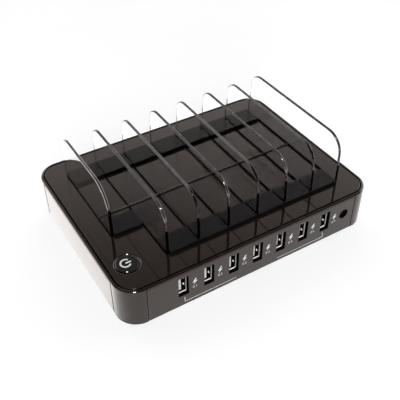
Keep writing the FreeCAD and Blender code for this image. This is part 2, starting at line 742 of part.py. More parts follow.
def make_power_button():
    """Turned button: a flat cap, a flange that stops under the deck and a stem to the switch."""
    body = new_body("power_button")
    body.setExpression("Placement.Base.x", "layout.button_x")
    body.setExpression("Placement.Base.y", "layout.button_y")
    profile = new_sketch(body, "profile", "XZ_Plane")
    add_polygon(profile, [
        ("0", "layout.plunger_top"),
        ("dims.button_stem_radius", "layout.plunger_top"),
        ("dims.button_stem_radius", "layout.flange_bottom"),
        ("layout.flange_radius", "layout.flange_bottom"),
        ("layout.flange_radius", "layout.flange_top"),
        ("dims.button_radius", "layout.flange_top"),
        ("dims.button_radius", "layout.button_top - dims.button_chamfer"),
        ("dims.button_radius - dims.button_chamfer", "layout.button_top"),
        ("0", "layout.button_top"),
    ])
    turned = body.newObject("PartDesign::Revolution", "power_button_turned")
    turned.Profile = profile
    turned.ReferenceAxis = (profile, ["V_Axis"])
    doc.recompute()


def make_rubber_feet():
    """Four round feet glued into recesses under the tray."""
    body = new_body("rubber_feet")
    pads = new_sketch(body, "pads")
    for x, y in four_places("layout.foot_x", "layout.foot_y"):
        add_circle(pads, x, y, "dims.foot_radius")
    add_pad(body, pads, "dims.foot_lift + dims.foot_recess")


def make_case_screws():
    """Countersunk screws that hold the tray to the cover, put in from below."""
    body = new_body("case_screws")
    heads = new_sketch(body, "heads", offset="layout.wall_bottom")
    shanks = new_sketch(body, "shanks", offset="layout.wall_bottom + dims.screw_head_height")
    for x, y in boss_places():
        add_circle(heads, x, y, "dims.screw_head_radius")
        add_circle(shanks, x, y, "dims.screw_radius")
    add_pad(body, heads, "dims.screw_head_height", taper=HEAD_TAPER)
    add_pad(body, shanks, "dims.screw_length")


def row_places(pitch, copies):
    """Places of a centred row along X."""
    return [f"({index} - {(copies - 1) / 2}) * {pitch}" for index in range(copies)]


def make_board_components():
    """Port controllers, inductors and capacitors on the circuit board."""
    chips = new_body("port_controllers")
    chip_plan = new_sketch(chips, "plan", offset="layout.board_top")
    for number in range(1, count("port_count") + 1):
        x = port_x(number)
        add_rectangle(chip_plan, f"{x} - dims.chip_width / 2", "layout.chip_front",
                      f"{x} + dims.chip_width / 2", "layout.chip_rear")
    add_pad(chips, chip_plan, "dims.chip_height")

    inductors = new_body("inductors")
    inductor_plan = new_sketch(inductors, "plan", offset="layout.board_top")
    for x in row_places("dims.inductor_pitch", count("inductor_count")):
        add_square(inductor_plan, x, "layout.inductor_y", "dims.inductor_size")
    add_pad(inductors, inductor_plan, "dims.inductor_height")
    add_chamfer(inductors, "dims.inductor_chamfer", lambda edge: is_along(edge, 2))

    capacitors = new_body("capacitors")
    capacitor_plan = new_sketch(capacitors, "plan", offset="layout.board_top")
    for x in row_places("dims.capacitor_pitch", count("capacitor_count")):
        add_circle(capacitor_plan, x, "layout.capacitor_y", "dims.capacitor_radius")
    add_pad(capacitors, capacitor_plan, "dims.capacitor_height")


def make_divider(number):
    """Clear upright plate with rounded upper corners, two tabs and a notch for the tie bar."""
    body = new_body(f"divider_{number}")
    body.setExpression("Placement.Base.x", divider_x(number))
    is_short = number == 1
    front = divider_front(number)
    front_radius = "dims.short_divider_front_radius" if is_short else "dims.divider_front_radius"
    tab_front, tab_rear = front_tab(number)
    tab_low = "layout.divider_bottom - dims.tab_depth"
    outline = new_sketch(body, "outline", "YZ_Plane", "-dims.divider_thickness / 2")
    add_polygon(outline, [
        (front, "layout.divider_bottom"),
        (tab_front, "layout.divider_bottom"),
        (tab_front, tab_low),
        (tab_rear, tab_low),
        (tab_rear, "layout.divider_bottom"),
        ("layout.notch_front", "layout.divider_bottom"),
        ("layout.notch_front", "layout.notch_top"),
        ("layout.notch_rear", "layout.notch_top"),
        ("layout.notch_rear", "layout.divider_bottom"),
        ("layout.rear_tab_front", "layout.divider_bottom"),
        ("layout.rear_tab_front", tab_low),
        ("layout.rear_tab_rear", tab_low),
        ("layout.rear_tab_rear", "layout.divider_bottom"),
        ("layout.divider_rear", "layout.divider_bottom"),
        ("layout.divider_rear", "layout.divider_top"),
        (front, "layout.divider_top"),
    ])
    add_pad(body, outline, "dims.divider_thickness")
    top = value("layout.divider_top")
    front_y = value(front)
    rear_y = value("layout.divider_rear")

    def is_top_corner(edge, y):
        at_top = lies_at(edge, 2, top) and lies_at(edge, 1, y)
        return at_top and is_along(edge, 0)

    add_fillet(body, front_radius, lambda edge: is_top_corner(edge, front_y))
    add_fillet(body, "dims.divider_rear_radius", lambda edge: is_top_corner(edge, rear_y))


def make_rail(label, first, last, front, rear, is_rear):
    """Flat rail between two dividers, slotted for the dividers that cross it."""
    body = new_body(label)
    plan = new_sketch(body, "plan", offset="layout.divider_bottom")
    left = f"{divider_x(first)} + layout.half_joint"
    right = f"{divider_x(last)} - layout.half_joint"
    add_rectangle(plan, left, front, right, rear)
    add_pad(body, plan, "dims.rail_height")
    lip_y = value(rear if is_rear else front)

    def is_lip_corner(edge):
        return is_along(edge, 2) and abs(edge.CenterOfMass.y - lip_y) < NEAR

    add_fillet(body, "dims.rail_corner_radius", is_lip_corner)
    if last - first > 1:
        slots = new_sketch(body, "slots", offset="layout.divider_bottom")
        low = f"{front} - {CUT_MARGIN}" if is_rear else "layout.divider_front - dims.joint_gap"
        high = "layout.divider_rear + dims.joint_gap" if is_rear else f"{rear} + {CUT_MARGIN}"
        for number in range(first + 1, last):
            x = divider_x(number)
            add_rectangle(slots, f"{x} - layout.half_joint", low, f"{x} + layout.half_joint", high)
        add_pocket(body, slots, "dims.rail_height", along_normal=True)


def make_rails():
    """Rails that join the dividers at the front, beside the button and at the rear."""
    last = count("divider_count")
    make_rail("front_rail", 2, last, "layout.front_rail_front", "layout.front_rail_rear", False)
    make_rail("short_front_rail", 1, 2, "layout.short_rail_front", "layout.short_rail_rear", False)
    make_rail("rear_rail", 1, last, "layout.rear_rail_front", "layout.rear_rail_rear", True)


def make_tie_bar():
    """Thin bar through the notches of all dividers."""
    body = new_body("tie_bar")
    plan = new_sketch(body, "plan", offset="layout.divider_bottom")
    left = f"{divider_x(1)} - dims.divider_thickness / 2"
    right = f"{divider_x(count('divider_count'))} + dims.divider_thickness / 2"
    add_rectangle(plan, left, "layout.tie_front", right, "layout.tie_rear")
    add_pad(body, plan, "dims.tie_height")


def check_and_export():
    """Stops on any failed object, then writes one file for each sub-part."""
    doc.recompute()
    for item in doc.Objects:
        if "Invalid" in item.State or "Error" in item.State:
            raise RuntimeError(f"{item.Name} failed: {item.State}")
    for body in subparts:
        if body.Shape.isNull() or not body.Shape.isValid() or not body.Shape.Solids:
            raise RuntimeError(f"{body.Label} has no valid solid")
    os.makedirs("parts", exist_ok=True)
    for body in subparts:
        body.Shape.exportStep(f"parts/{body.Label}.step")


make_base_tray()
make_top_cover()
make_front_panel()
make_circuit_board()
for port in range(1, count("port_count") + 1):
    make_usb_shell(port)
    make_usb_tongue(port)
make_usb_contacts()
make_dc_jack()
make_power_switch()
make_power_button()
make_rubber_feet()
make_case_screws()
make_board_components()
for divider in range(1, count("divider_count") + 1):
    make_divider(divider)
make_rails()
make_tie_bar()
check_and_export()
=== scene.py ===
"""Looks of a desktop charging station: a glossy case with seven ports and a rack of clear dividers."""
import json
import math

import bmesh
import bpy
from mathutils import Matrix, Vector

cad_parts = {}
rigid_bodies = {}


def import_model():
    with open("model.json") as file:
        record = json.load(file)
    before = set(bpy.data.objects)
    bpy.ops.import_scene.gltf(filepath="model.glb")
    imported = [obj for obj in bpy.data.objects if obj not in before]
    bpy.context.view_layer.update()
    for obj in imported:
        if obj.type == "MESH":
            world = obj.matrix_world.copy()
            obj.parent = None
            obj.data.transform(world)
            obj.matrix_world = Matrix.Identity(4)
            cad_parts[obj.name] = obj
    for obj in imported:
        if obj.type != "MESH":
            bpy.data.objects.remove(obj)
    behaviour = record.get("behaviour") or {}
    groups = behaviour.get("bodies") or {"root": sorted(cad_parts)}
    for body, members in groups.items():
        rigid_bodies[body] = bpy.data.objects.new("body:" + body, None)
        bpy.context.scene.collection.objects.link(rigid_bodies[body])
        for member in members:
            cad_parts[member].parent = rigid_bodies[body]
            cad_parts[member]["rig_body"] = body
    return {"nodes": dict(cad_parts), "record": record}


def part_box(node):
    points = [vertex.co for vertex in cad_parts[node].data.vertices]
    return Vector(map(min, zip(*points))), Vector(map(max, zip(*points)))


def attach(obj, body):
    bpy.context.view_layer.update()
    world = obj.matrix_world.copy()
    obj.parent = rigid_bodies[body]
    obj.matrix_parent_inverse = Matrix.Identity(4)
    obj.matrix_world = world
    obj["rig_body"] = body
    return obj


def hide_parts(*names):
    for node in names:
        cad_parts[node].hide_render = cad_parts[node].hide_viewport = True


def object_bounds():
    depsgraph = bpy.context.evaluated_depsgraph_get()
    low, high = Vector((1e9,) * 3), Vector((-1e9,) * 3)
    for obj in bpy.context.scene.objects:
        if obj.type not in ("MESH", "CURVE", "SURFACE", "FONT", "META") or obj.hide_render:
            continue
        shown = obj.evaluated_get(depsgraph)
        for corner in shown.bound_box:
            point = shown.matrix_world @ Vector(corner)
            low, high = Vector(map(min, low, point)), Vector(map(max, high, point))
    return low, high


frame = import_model()
cad_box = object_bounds()

# Lengths are in metres, most of them written as millimetres times MM. Angles are in radians.
MM = 0.001

# Camera, fitted to the picture's perspective
PICTURE_PIXELS = 400
FOCAL_PIXELS = 646.184
SENSOR_MM = 36.0
NEAREST_VIEW = 0.01
CAMERA_AZIMUTH = math.radians(31.011)
CAMERA_ELEVATION = math.radians(41.082)
CAMERA_ROLL = math.radians(-0.503)
CAMERA_DISTANCE = 385.263 * MM
CAMERA_TARGET = Vector((-8.029, -12.329, 21.0)) * MM

# Lamps
KEY_ELEVATION = math.radians(58)
KEY_DISTANCE = 4.5
KEY_SIZE = 0.6
KEY_RADIANCE = 120.0
FILL_PLACE = Vector((-1.75, -4.0, 1.75))
FILL_SIZE = 2.5
FILL_RADIANCE = 4.0

# Pale card on the table: its light fades in along Y over a stretch that counts from the case's front
CARD_WIDTH = 120 * MM
CARD_LENGTH = 400 * MM
CARD_FRONT = 45 * MM
CARD_FADE = (-9 * MM, 36 * MM)
CARD_LIFT = 0.1 * MM
CARD_LIGHT = (1.25, 1.18, 1.12)

# Table, with a glow for each kind of ray that meets it
FLOOR_HALF = 3.0
FLOOR_TONES = (0.79, 0.795, 0.805), (0.82, 0.825, 0.835)
FLOOR_TONE_SCALE = 8.0
FLOOR_ROUGHNESS = 0.9
FLOOR_GLOW = {"Is Camera Ray": 0.36, "Is Glossy Ray": 0.57, "Is Transmission Ray": 0.54}

# Room light: levels by height on the far side, the near side's share of them, the span between the two
# sides, and the heights between which a look through a clear plate goes over to plain white
ROOM_TINT = (1.0, 0.97, 0.95)
ROOM_LEVELS = [(0.0, 1.1), (0.5, 1.25), (0.58, 1.12), (0.64, 0.84),
               (0.69, 0.55), (0.73, 0.36), (0.8, 0.15), (1.0, 0.05)]
ROOM_NEAR_SHARE = 0.1
ROOM_TURN = (-0.1, 0.5)
ROOM_PLAIN = (0.35, 0.2)

# Patterns in the materials: scales per metre, and the span of noise values that is put to use
PATTERN_SPAN = (0.3, 0.7)
TONE_SCALE = 60.0
POLISH_SCALE = 240.0
POLISH_DETAIL = 5.0
GRAIN_SCALE = 900.0
GRAIN_HEIGHT = 0.05 * MM
METAL_TONE_SCALE = 300.0
LINE_SCALE = 900.0
LINE_DETAIL = 4.0
LINE_HEIGHT = 0.02 * MM
LINE_STRENGTH = 0.05
ACRYLIC_TONE_SCALE = 25.0
ACRYLIC_TONES = (0.985, 0.99, 0.992), (1.0, 1.0, 1.0)
TRACE_SCALE = 500.0
TRACE_TONES = (0.003, 0.008, 0.005), (0.005, 0.014, 0.009)
BOARD_POLISH_SCALE = 400.0
BOARD_POLISH = (0.3, 0.45)

# Finishes: dark and light tone, span of roughness, and what else differs from plain plastic or metal
WHITE = (1.0, 1.0, 1.0)
WARM_SHEEN = (1.0, 0.88, 0.84)
CASE_TONES = (0.010, 0.006, 0.0045), (0.014, 0.0085, 0.0065)
LONG_LINES_Y = (1, 0.05, 1)
LINES_Y = (1, 0.1, 1)
LINES_Z = (1, 1, 0.1)
SHORT_LINES_Z = (1, 1, 0.2)
PLASTICS = {
    "case_gloss": dict(tones=CASE_TONES, polish=(0.03, 0.06), sheen=WARM_SHEEN),
    "rim_gloss": dict(tones=CASE_TONES, polish=(0.06, 0.1), shine=1.0, bending=2.0),
    "panel_gloss": dict(tones=((0.017, 0.012, 0.010), (0.022, 0.0155, 0.013)), polish=(0.04, 0.07),
                        sheen=WARM_SHEEN),
    "button_gloss": dict(tones=((0.007, 0.0058, 0.0052), (0.010, 0.0084, 0.0075)), polish=(0.10, 0.14),
                         shine=0.35),
    "rail_satin": dict(tones=((0.0035, 0.0035, 0.004), (0.005, 0.005, 0.006)), polish=(0.24, 0.27),
                       grain=0.03, sheen=WARM_SHEEN, shine=0.2),
    "bar_gloss": dict(tones=((0.030, 0.027, 0.025), (0.040, 0.036, 0.034)), polish=(0.28, 0.36), shine=1.0),
    "deep_shade": dict(tones=((0.0015, 0.0012, 0.001), (0.0025, 0.002, 0.0018)), polish=(0.6, 0.8),
                       shine=0.0),
    # The three edge tones below are opaque finishes on the dividers' top edges: painted highlight on the
    # first divider, painted light that is lighter and dimmer by turns on the others.
    "milky_edge": dict(tones=((0.10, 0.095, 0.09), (0.14, 0.13, 0.125)), polish=(0.2, 0.3)),
    "bright_edge": dict(tones=((0.34, 0.33, 0.32), (0.40, 0.39, 0.38)), polish=(0.2, 0.3)),
    "polished_edge": dict(tones=((0.03, 0.028, 0.027), (0.04, 0.038, 0.036)), polish=(0.12, 0.18),
                          shine=1.0, bending=2.0),
    "faint_edge": dict(tones=((0.05, 0.047, 0.045), (0.07, 0.066, 0.062)), polish=(0.2, 0.3)),
    # The next two are pale plastic tones that stand in for lit steel in the ports: painted sheen on the
    # lips, painted highlight on the dimples and the lips' foot.
    "lip_steel": dict(tones=((0.34, 0.33, 0.31), (0.42, 0.41, 0.39)), polish=(0.25, 0.4), shine=1.0),
    "dot_steel": dict(tones=((0.84, 0.82, 0.80), (0.90, 0.88, 0.86)), polish=(0.25, 0.35), shine=1.0),
    "tongue_white": dict(tones=((0.76, 0.75, 0.73), (0.84, 0.83, 0.81)), polish=(0.35, 0.5)),
    "foot_rubber": dict(tones=((0.018, 0.018, 0.018), (0.03, 0.03, 0.03)), polish=(0.7, 0.85), grain=0.4),
    "inner_plastic": dict(tones=((0.010, 0.010, 0.010), (0.018, 0.018, 0.018)), polish=(0.4, 0.55),
                          grain=0.2),
    "print_ink": dict(tones=((0.74, 0.74, 0.73), (0.84, 0.84, 0.83)), polish=(0.45, 0.6)),
}
METALS = {
    "shell_steel": dict(tones=((0.52, 0.50, 0.47), (0.66, 0.64, 0.60)), polish=(0.16, 0.30),
                        stretch=LONG_LINES_Y),
    "shell_shade": dict(tones=((0.010, 0.0095, 0.009), (0.018, 0.017, 0.016)), polish=(0.4, 0.6),
                        stretch=LONG_LINES_Y),
    "contact_metal": dict(tones=((0.80, 0.58, 0.25), (0.92, 0.70, 0.36)), polish=(0.15, 0.3),
                          stretch=LINES_Y),
    "pin_metal": dict(tones=((0.60, 0.60, 0.58), (0.72, 0.71, 0.69)), polish=(0.15, 0.28),
                      stretch=LINES_Y),
    "screw_steel": dict(tones=((0.32, 0.32, 0.33), (0.45, 0.45, 0.46)), polish=(0.25, 0.4),
                        stretch=SHORT_LINES_Z),
    "can_aluminium": dict(tones=((0.6, 0.6, 0.61), (0.75, 0.75, 0.76)), polish=(0.2, 0.35),
                          stretch=LINES_Z),
}
ACRYLICS = {
    "clear_acrylic": dict(bending=1.49, clearness=1.0),
    # acrylic_rear: a grey tint with next to no bending, painted shade that stands in for the dark look of
    # the dividers' refracting rear edges.
    "acrylic_rear": dict(bending=1.03, clearness=0.38),
}

# Edge roundings
SHARP_ANGLE = math.radians(30)
SMOOTH_ANGLE = math.radians(35)
FLAT_ANGLE = math.radians(0.5)
WELD_DISTANCE = 0.001 * MM
ROUND_SEGMENTS = 3
ROUND_PROFILE = 0.5
GROOVE_ROUNDING = 0.22 * MM
MOULD_ROUNDING = 0.18 * MM
SEAM_ROUNDING = 0.75 * MM
INLET_ROUNDING = 0.2 * MM
RAIL_ROUNDING = 0.3 * MM
SHEET_ROUNDING = 0.65 * MM
TIE_ROUNDING = 0.4 * MM
BUTTON_ROUNDING = 0.4 * MM
HOLE_ROUNDING = 0.35 * MM
FOOT_ROUNDING = 0.3 * MM

# Places on the case: its corner radius, the groove counted from the outline, and reaches round openings
CORNER_RADIUS = 12.8 * MM
GROOVE_NEAR = 1.2 * MM
GROOVE_FAR = 2.8 * MM
GROOVE_DEPTH = 0.6 * MM
HOLE_REACH = 7.5 * MM
INLET_REACH = 4.0 * MM
WINDOW_REACH = 3.5 * MM
OUTER_REACH = 0.01 * MM

# Parts of a face's normal by which kinds of faces are told apart
SEAM_PART = 0.2
STEEP_PART = 0.5
LEVEL_PART = 0.98
FLUSH_PART = 0.1
CORNER_PART = 0.38
REAR_PART = 0.3
SLOPE_PART = 0.2
FRONT_PART = -0.25

# Divider rack: heights count from the deck, and the last line gives the places of a divider's finishes
DIVIDER_COUNT = 8
FOOT_BED = 1.5 * MM
FOOT_SHADE = 0.9 * MM
REAR_LIGHT = 16.5 * MM
NOTCH_REACH = 1.5 * MM
TOP, REAR, FOOT, CORNER = range(1, 5)

# Charging ports: the last lines give the places of a shell's finishes, and those along its tube
PORT_COUNT = 7
PORT_NUMBERS = range(1, PORT_COUNT + 1)
LIP_FLARE = 0.08 * MM
LIP_FORWARD = 0.2 * MM
LIP_BAND = 0.35 * MM
SHELL_METAL = 0.3 * MM
SHELL_FOLD = 0.7 * MM
FOLD_SEGMENTS = 5
FINGER_WIDTH = 2.0 * MM
FINGER_METAL = 0.2 * MM
FINGER_OFFSET = 2.5 * MM
FINGER_START = 0.4 * MM
FINGER_LENGTH = 6.0 * MM
FINGER_CREST = 1.2 * MM
FINGER_BEND = 0.3 * MM
FINGER_LEAN = 0.15 * MM
FINGER_GAP = 0.05 * MM
CREST_SPREAD = 0.54 * MM
FINGER_STEPS = 14
DIMPLE_RADIUS = 0.7 * MM
DIMPLE_HEIGHT = 0.75 * MM
DIMPLE_STEPS = 6
DIMPLE_SIDES = 18
# The lip's finish is painted sheen, the finish of the dimples and the lip's foot is painted highlight, and
# the inside's finish is painted shade.
BARE, LIP, INSIDE, PAINTED_HIGHLIGHT = range(4)
SHELL_FINISHES = ("shell_steel", "lip_steel", "shell_shade", "dot_steel")
TUBE_FINISHES = (BARE, LIP, LIP, LIP, LIP, INSIDE, BARE)

# Recess in the screw heads
RECESS_HALF_WIDTH = 0.4 * MM
RECESS_HALF_LENGTH = 1.5 * MM
RECESS_DEPTH = 0.9 * MM
RECESS_TAPER = 0.55

# Printing on the panel and the button; the bolt's corners are shares of its width and height
INK_THICKNESS = 0.02 * MM
PANEL_SETBACK = 0.05 * MM
BOLT_WIDTH = 3.1 * MM
BOLT_HEIGHT = 4.6 * MM
BOLT_OFFSET = 6.9 * MM
BOLT_BASE = 12.9 * MM
BOLT_SHAPE = [(0.62, 1.0), (0.0, 0.42), (0.42, 0.42), (0.24, 0.0),
              (1.0, 0.6), (0.56, 0.6), (0.88, 1.0)]
DIGIT_HEIGHT = 1.7 * MM
DIGIT_SHARE = 0.73
DIGIT_SPACING = 1.5
NUMBER_BASE = 10.5 * MM
BRACKET_Z = 2.9 * MM
BRACKET_TICK = 3.4 * MM
BRACKET_STROKE = 0.35 * MM
BRACKET_INNER = 14.2 * MM
BRACKET_OUTER = 47.7 * MM
SYMBOL_RADIUS = 2.7 * MM
SYMBOL_SHIFT = (-0.8 * MM, 0.4 * MM)
SYMBOL_STROKE = 0.95 * MM
SYMBOL_OPENING = math.radians(38)
SYMBOL_STEPS = 40


# Node trees, of materials and of the world

def add_node(owner, kind, **inputs):
    """A node whose sockets get plain values."""
    node = owner.node_tree.nodes.new(kind)
    for socket, value in inputs.items():
        node.inputs[socket.replace("_", " ")].default_value = value
    return node


def join(owner, source, target):
    """A wire between two sockets."""
    owner.node_tree.links.new(source, target)


def remap(owner, source, span, result=(0.0, 1.0), kind="LINEAR"):
    """A value carried from one span to another and held at its ends."""
    node = add_node(owner, "ShaderNodeMapRange", From_Min=span[0], From_Max=span[1],
                    To_Min=result[0], To_Max=result[1])
    node.interpolation_type = kind
    join(owner, source, node.inputs["Value"])
    return node.outputs["Result"]


def combine(owner, operation, first, second):
    """Two values made into one by a calculation."""
    node = add_node(owner, "ShaderNodeMath")
    node.operation = operation
    join(owner, first, node.inputs[0])
    join(owner, second, node.inputs[1])
    return node.outputs["Value"]


# Materials

def new_material(name):
    """A node material and its main shader."""
    material = bpy.data.materials.new(name)
    material.use_nodes = True
    shader = material.node_tree.nodes["Principled BSDF"]
    return material, shader


def noise(material, scale, detail=3.0, stretch=None):
    """Noise in object space, with a scale per metre, stretched along an axis if wanted."""
    texture = add_node(material, "ShaderNodeTexNoise", Scale=scale, Detail=detail)
    source = add_node(material, "ShaderNodeTexCoord").outputs["Object"]
    if stretch:
        mapping = add_node(material, "ShaderNodeMapping", Scale=stretch)
        join(material, source, mapping.inputs["Vector"])
        source = mapping.outputs["Vector"]
    join(material, source, texture.inputs["Vector"])
    return texture.outputs["Fac"]


def blend_colours(material, pattern, tones, socket):
    """Runs a shader colour from a dark tone to a light one with a pattern."""
    ramp = add_node(material, "ShaderNodeValToRGB")
    for element, position, tone in zip(ramp.color_ramp.elements, PATTERN_SPAN, tones):
        element.position = position
        element.color = (*tone, 1)
    join(material, pattern, ramp.inputs["Fac"])
    join(material, ramp.outputs["Color"], socket)


def spread(material, pattern, result, socket):
    """Runs a shader value between two numbers with a pattern."""
    join(material, remap(material, pattern, PATTERN_SPAN, result), socket)


def add_bump(material, shader, pattern, height, strength):
    """Fine relief from a pattern."""
    bump = add_node(material, "ShaderNodeBump", Distance=height, Strength=strength)
    join(material, pattern, bump.inputs["Height"])
    join(material, bump.outputs["Normal"], shader.inputs["Normal"])


def plastic(name, tones, polish, grain=0.02, sheen=WHITE, shine=0.5, bending=1.5):
    """Moulded plastic: faint tone changes, uneven polish and a fine skin."""
    material, shader = new_material(name)
    shader.inputs["IOR"].default_value = bending
    shader.inputs["Specular Tint"].default_value = (*sheen, 1)
    shader.inputs["Specular IOR Level"].default_value = shine
    blend_colours(material, noise(material, TONE_SCALE), tones, shader.inputs["Base Color"])
    spread(material, noise(material, POLISH_SCALE, POLISH_DETAIL), polish, shader.inputs["Roughness"])
    add_bump(material, shader, noise(material, GRAIN_SCALE), GRAIN_HEIGHT, grain)
    return material


def metal(name, tones, polish, stretch):
    """Plated or drawn metal with fine lines along one axis."""
    material, shader = new_material(name)
    shader.inputs["Metallic"].default_value = 1.0
    lines = noise(material, LINE_SCALE, LINE_DETAIL, stretch)
    blend_colours(material, noise(material, METAL_TONE_SCALE), tones, shader.inputs["Base Color"])
    spread(material, lines, polish, shader.inputs["Roughness"])
    add_bump(material, shader, lines, LINE_HEIGHT, LINE_STRENGTH)
    return material


def clear_acrylic(name, bending, clearness):
    """Clear polished sheet with a faint uneven tint, as dark as its clearness asks."""
    material, shader = new_material(name)
    shader.inputs["Transmission Weight"].default_value = 1.0
    shader.inputs["IOR"].default_value = bending
    shader.inputs["Roughness"].default_value = 0.0
    tones = [[clearness * part for part in tone] for tone in ACRYLIC_TONES]
    blend_colours(material, noise(material, ACRYLIC_TONE_SCALE), tones, shader.inputs["Base Color"])
    return material


def board_laminate():
    """Very dark green board with a mesh of traces."""
    material, shader = new_material("board_laminate")
    traces = add_node(material, "ShaderNodeTexVoronoi", Scale=TRACE_SCALE)
    place = add_node(material, "ShaderNodeTexCoord")
    join(material, place.outputs["Object"], traces.inputs["Vector"])
    blend_colours(material, traces.outputs["Distance"], TRACE_TONES, shader.inputs["Base Color"])
    spread(material, noise(material, BOARD_POLISH_SCALE), BOARD_POLISH, shader.inputs["Roughness"])
    return material


materials = {"board_laminate": board_laminate()}
for make_finish, finishes in ((plastic, PLASTICS), (metal, METALS), (clear_acrylic, ACRYLICS)):
    for finish_name, look in finishes.items():
        materials[finish_name] = make_finish(finish_name, **look)


# Pieces

def box_of(node):
    """Lowest and highest corner of a CAD node."""
    low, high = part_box(node)
    return Vector(low), Vector(high)


def middle_of(node):
    """Middle of a CAD node's box."""
    low, high = box_of(node)
    return (low + high) / 2


def add_piece(mesh, name, slot, body, *nodes, finish=None):
    """Puts a mesh into the scene as a piece that rides on a body and stands for CAD nodes."""
    piece = bpy.data.objects.new(name, mesh)
    bpy.context.scene.collection.objects.link(piece)
    mesh.materials.append(materials[finish or slot])
    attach(piece, body)
    if nodes:
        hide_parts(*nodes)
    return piece


def to_mesh(bm, name):
    """A smooth-shaded mesh whose sharp edges stay sharp."""
    bmesh.ops.recalc_face_normals(bm, faces=bm.faces)
    mesh = bpy.data.meshes.new(name)
    bm.to_mesh(mesh)
    bm.free()
    mesh.shade_smooth()
    mesh.set_sharp_from_angle(angle=SMOOTH_ANGLE)
    return mesh


def join_rings(bm, ring, after):
    """Four-cornered faces all the way round between two closed rings of corners."""
    faces = []
    for index in range(len(ring)):
        following = (index + 1) % len(ring)
        corners = (ring[index], ring[following], after[following], after[index])
        faces.append(bm.faces.new(corners))
    return faces


def welded_copy(node):
    """A CAD node's mesh as one closed skin with flat faces whole."""
    bm = bmesh.new()
    bm.from_mesh(frame["nodes"][node].data)
    bmesh.ops.remove_doubles(bm, verts=bm.verts, dist=WELD_DISTANCE)
    bmesh.ops.dissolve_limit(bm, angle_limit=FLAT_ANGLE, verts=bm.verts, edges=bm.edges)
    return bm


def is_sharp(edge):
    """True for a real edge of the shape, not a seam between facets of a curve."""
    return len(edge.link_faces) == 2 and edge.calc_face_angle(0.0) > SHARP_ANGLE


def round_edges(bm, radius, wanted):
    """Rounds the sharp edges that a test on their two ends accepts."""
    edges = [edge for edge in bm.edges if is_sharp(edge) and wanted(*(vert.co for vert in edge.verts))]
    bmesh.ops.bevel(bm, geom=edges, offset=radius, offset_type="OFFSET", segments=ROUND_SEGMENTS,
                    profile=ROUND_PROFILE, affect="EDGES", clamp_overlap=True)


def any_edge(start, end):
    """Accepts every edge."""
    return True


def shade_evenly(piece):
    """Lets large flat faces stay flat beside their rounded edges."""
    shading = piece.modifiers.new("even_shading", "WEIGHTED_NORMAL")
    shading.keep_sharp = True


def dressed(node, slot, radius, wanted=any_edge, levels=()):
    """A CAD node with its edges rounded, in its finish, with its faces split at the given levels."""
    bm = welded_copy(node)
    round_edges(bm, radius, wanted)
    for level in levels:
        everything = list(bm.verts) + list(bm.edges) + list(bm.faces)
        bmesh.ops.bisect_plane(bm, geom=everything, dist=WELD_DISTANCE,
                               plane_co=(0, 0, level), plane_no=(0, 0, 1))
    body = frame["nodes"][node]["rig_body"]
    piece = add_piece(to_mesh(bm, f"{node}_dressed"), f"{node}_dressed", slot, body, node)
    shade_evenly(piece)
    return piece


def refinish(piece, finish, wanted):
    """Gives the faces that a test accepts a finish of their own."""
    piece.data.materials.append(materials[finish])
    for face in piece.data.polygons:
        if wanted(face):
            face.material_index = len(piece.data.materials) - 1


def finish_bare_nodes():
    """CAD nodes that show as they are get the finish of their slot."""
    for subpart in frame["record"]["subparts"]:
        data = frame["nodes"][subpart["node"]].data
        data.materials.clear()
        data.materials.append(materials[subpart["material_slot"]])


# Case

def outline_inset(point):
    """How far a point lies inside the outline of the case, seen from above."""
    high = cad_box[1]
    over_x = max(abs(point.x) - (high[0] - CORNER_RADIUS), 0.0)
    over_y = max(abs(point.y) - (high[1] - CORNER_RADIUS), 0.0)
    return CORNER_RADIUS - math.hypot(over_x, over_y)


def is_outer_edge(*ends):
    """True for an edge on one of the case's four outer sides."""
    high = cad_box[1]
    return all(abs(abs(end.x) - high[0]) < OUTER_REACH or abs(abs(end.y) - high[1]) < OUTER_REACH
               for end in ends)


def is_wall_end(face):
    """True for a face on the outside that looks to two sides at once, as a wall's rounded end does."""
    across = min(abs(face.normal.x), abs(face.normal.y)) > SEAM_PART
    return across and outline_inset(face.center) < SEAM_ROUNDING


def is_seam(face):
    """True for a rounded end that looks towards the middle of its side, as that of a corner post does."""
    inwards = face.normal.x * face.center.x < 0 or face.normal.y * face.center.y < 0
    return inwards and is_wall_end(face)


def make_cover():
    """Deck and posts, with soft lips along the groove round the deck."""
    deck_top = box_of("top_cover")[1].z
    button = middle_of("power_button")

    def is_on_deck(point):
        return point.z > deck_top - WELD_DISTANCE

    def is_groove_lip(*ends):
        return all(is_on_deck(end) and GROOVE_NEAR < outline_inset(end) < GROOVE_FAR for end in ends)

    def is_button_hole(*ends):
        return all(is_on_deck(end) and (end - button).xy.length < HOLE_REACH for end in ends)

    bm = welded_copy("top_cover")
    round_edges(bm, GROOVE_ROUNDING, is_groove_lip)
    round_edges(bm, HOLE_ROUNDING, is_button_hole)
    round_edges(bm, SEAM_ROUNDING, is_outer_edge)
    cover = add_piece(to_mesh(bm, "cover"), "top_cover_dressed", "case_gloss", "base", "top_cover")
    shade_evenly(cover)
    finish_cover(cover, deck_top, button)


